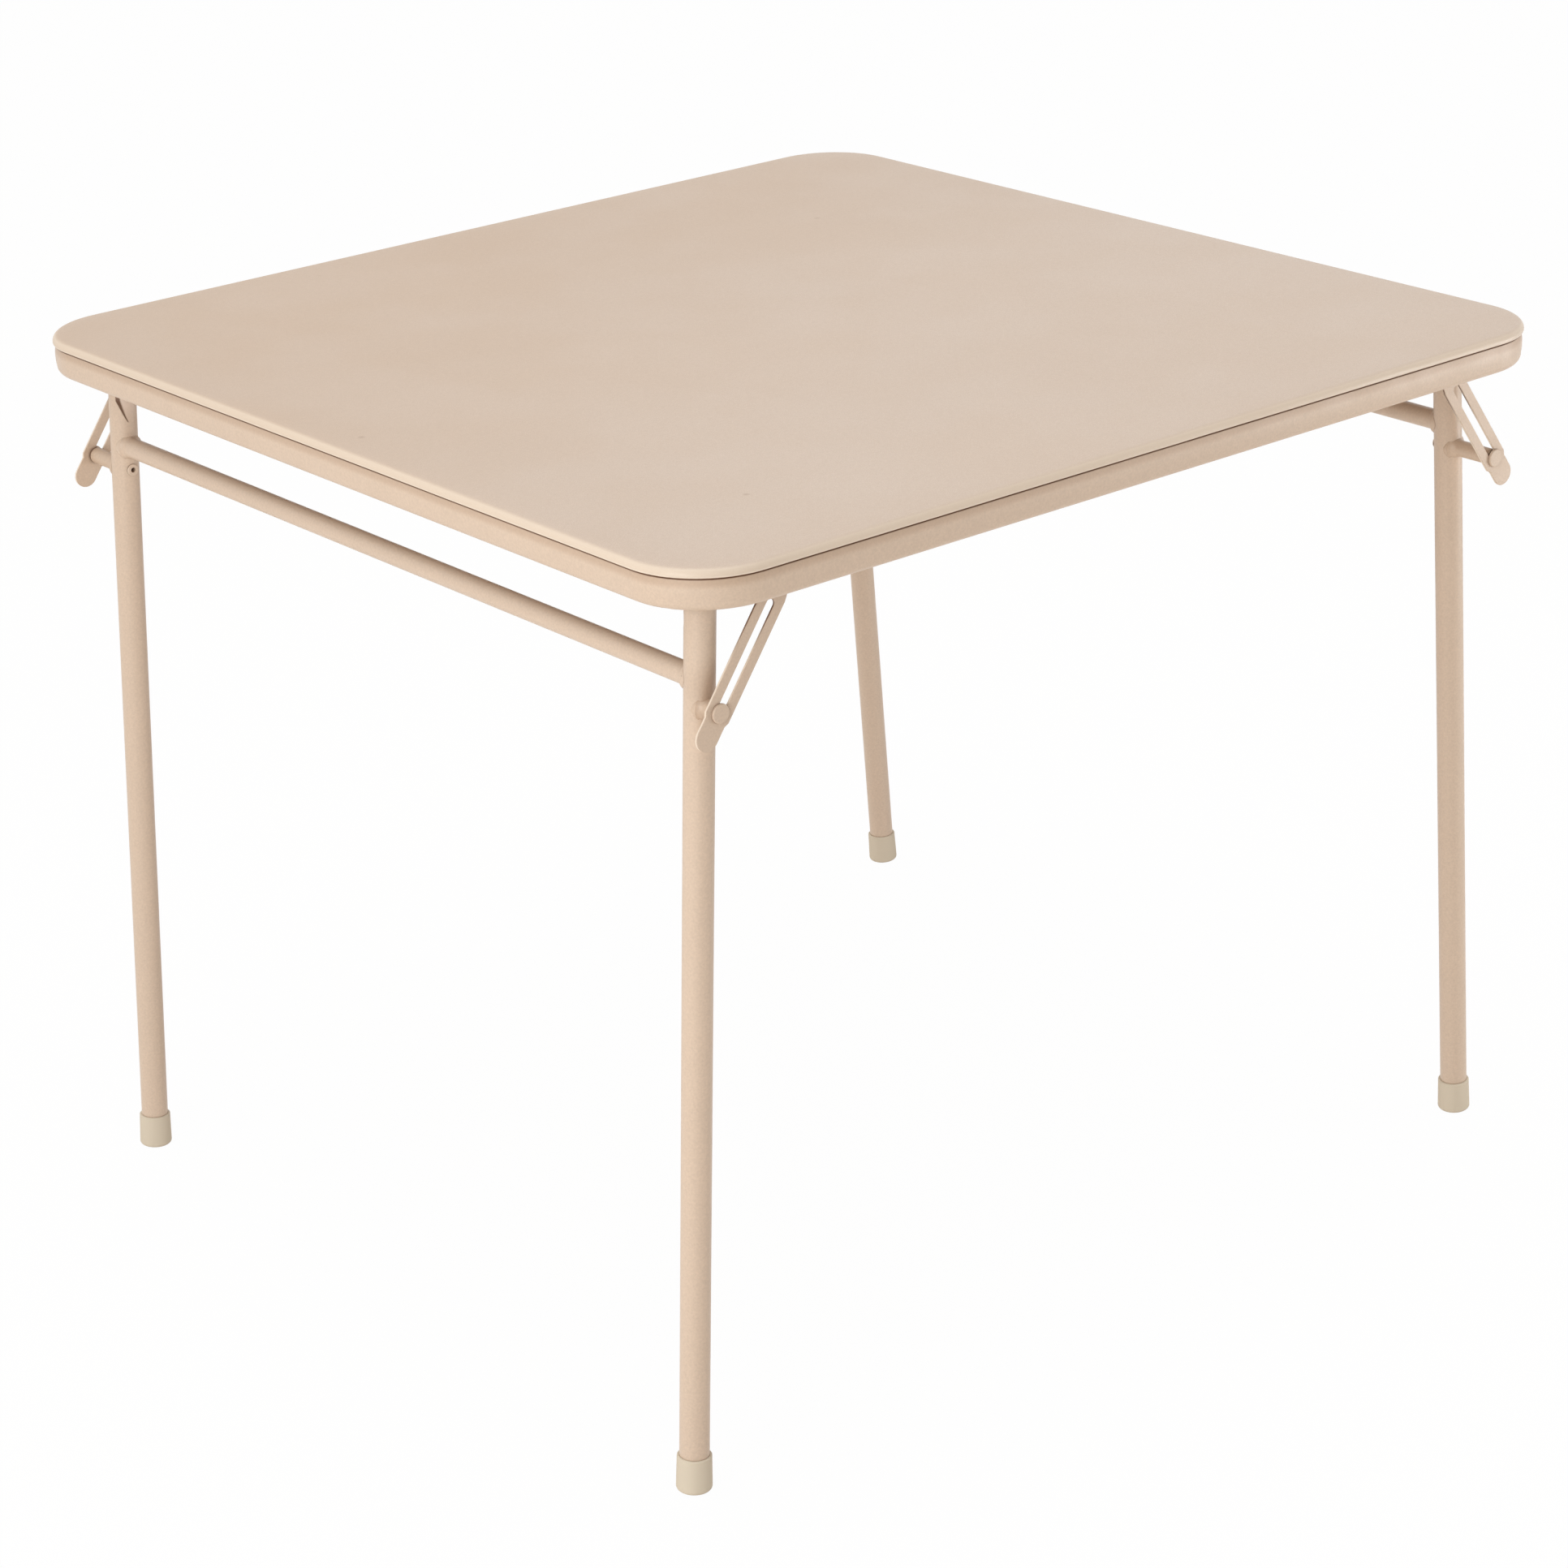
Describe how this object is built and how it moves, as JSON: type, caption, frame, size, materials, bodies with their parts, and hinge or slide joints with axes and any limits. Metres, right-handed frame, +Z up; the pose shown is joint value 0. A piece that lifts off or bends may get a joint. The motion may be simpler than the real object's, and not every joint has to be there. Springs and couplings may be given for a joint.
{
  "type": "folding card table",
  "caption": "Square folding card table: padded vinyl top in a crowned steel apron, splayed tubular legs that fold in pairs, and slotted sliding braces.",
  "frame": {"origin": "on the floor, under the middle of the square top", "axes": "+Z up; the two leg pairs fold about lines along Y, at -X and +X; the corner at -X -Y is the nearest one in the picture"},
  "size_m": [0.8816, 0.864, 0.711],
  "materials": {
    "vinyl": "embossed soft vinyl",
    "foam": "thin foam sheet",
    "hardboard": "tempered hardboard",
    "enamel": "semi-gloss baked enamel",
    "cap_plastic": "moulded plastic",
    "zinc": "zinc plated"
  },
  "bodies": {
    "table_top": {"table_board": "hardboard", "top_padding": "foam", "vinyl_cover": "vinyl", "apron_rail": "enamel", "panel_screws": "zinc", "hinge_bracket_left": "enamel", "hinge_bracket_front": "enamel", "hinge_bracket_right": "enamel", "hinge_bracket_back": "enamel", "bracket_rivets": "zinc", "bracket_posts_long": "enamel", "bracket_posts_short": "enamel", "leg_pivot_rivets": "enamel"},
    "leg_pair_a": {"leg_tube_left": "enamel", "leg_tube_front": "enamel", "foot_cap_left": "cap_plastic", "foot_cap_front": "cap_plastic", "cross_tube_a": "enamel", "spacer_stub_left": "enamel", "spacer_stub_front": "enamel"},
    "sliding_rivet_left": {"slot_rivet_left": "enamel"},
    "brace_left": {"slotted_brace_left": "enamel", "brace_rivet_left": "enamel"},
    "sliding_rivet_front": {"slot_rivet_front": "enamel"},
    "brace_front": {"slotted_brace_front": "enamel", "brace_rivet_front": "enamel"},
    "leg_pair_b": {"leg_tube_right": "enamel", "leg_tube_back": "enamel", "foot_cap_right": "cap_plastic", "foot_cap_back": "cap_plastic", "cross_tube_b": "enamel", "spacer_stub_right": "enamel", "spacer_stub_back": "enamel"},
    "sliding_rivet_right": {"slot_rivet_right": "enamel"},
    "brace_right": {"slotted_brace_right": "enamel", "brace_rivet_right": "enamel"},
    "sliding_rivet_back": {"slot_rivet_back": "enamel"},
    "brace_back": {"slotted_brace_back": "enamel", "brace_rivet_back": "enamel"}
  },
  "joints": [
    {"name": "fold_a", "type": "hinge", "parent": "table_top", "child": "leg_pair_a", "pos_m": [-0.39, 0, 0.68355], "axis": [0, -1, 0], "range_deg": [0, 93.4]},
    {"name": "rivet_turn_left", "type": "hinge", "parent": "leg_pair_a", "child": "sliding_rivet_left", "pos_m": [-0.39184, 0.4046, 0.60192], "axis": [0, -1, 0], "range_deg": [0, 32.11]},
    {"name": "brace_slide_left", "type": "slide", "parent": "sliding_rivet_left", "child": "brace_left", "axis": [-0.5807, 0, -0.8141], "range_m": [0, 0.08089]},
    {"name": "rivet_turn_front", "type": "hinge", "parent": "leg_pair_a", "child": "sliding_rivet_front", "pos_m": [-0.39184, -0.4046, 0.60192], "axis": [0, -1, 0], "range_deg": [0, 32.11]},
    {"name": "brace_slide_front", "type": "slide", "parent": "sliding_rivet_front", "child": "brace_front", "axis": [-0.5807, 0, -0.8141], "range_m": [0, 0.08089]},
    {"name": "fold_b", "type": "hinge", "parent": "table_top", "child": "leg_pair_b", "pos_m": [0.39, 0, 0.68355], "axis": [0, 1, 0], "range_deg": [0, 93.4]},
    {"name": "rivet_turn_right", "type": "hinge", "parent": "leg_pair_b", "child": "sliding_rivet_right", "pos_m": [0.39184, -0.4046, 0.60192], "axis": [0, 1, 0], "range_deg": [0, 32.11]},
    {"name": "brace_slide_right", "type": "slide", "parent": "sliding_rivet_right", "child": "brace_right", "axis": [0.5807, 0, -0.8141], "range_m": [0, 0.08089]},
    {"name": "rivet_turn_back", "type": "hinge", "parent": "leg_pair_b", "child": "sliding_rivet_back", "pos_m": [0.39184, 0.4046, 0.60192], "axis": [0, 1, 0], "range_deg": [0, 32.11]},
    {"name": "brace_slide_back", "type": "slide", "parent": "sliding_rivet_back", "child": "brace_back", "axis": [0.5807, 0, -0.8141], "range_m": [0, 0.08089]}
  ],
  "couplings": [
    {"joint": "rivet_turn_left", "follows": "fold_a", "ratio": 0.34368},
    {"joint": "brace_slide_left", "follows": "fold_a", "m_per_rad": 0.049617},
    {"joint": "rivet_turn_front", "follows": "fold_a", "ratio": 0.34368},
    {"joint": "brace_slide_front", "follows": "fold_a", "m_per_rad": 0.049617},
    {"joint": "rivet_turn_right", "follows": "fold_b", "ratio": 0.34368},
    {"joint": "brace_slide_right", "follows": "fold_b", "m_per_rad": 0.049617},
    {"joint": "rivet_turn_back", "follows": "fold_b", "ratio": 0.34368},
    {"joint": "brace_slide_back", "follows": "fold_b", "m_per_rad": 0.049617}
  ]
}
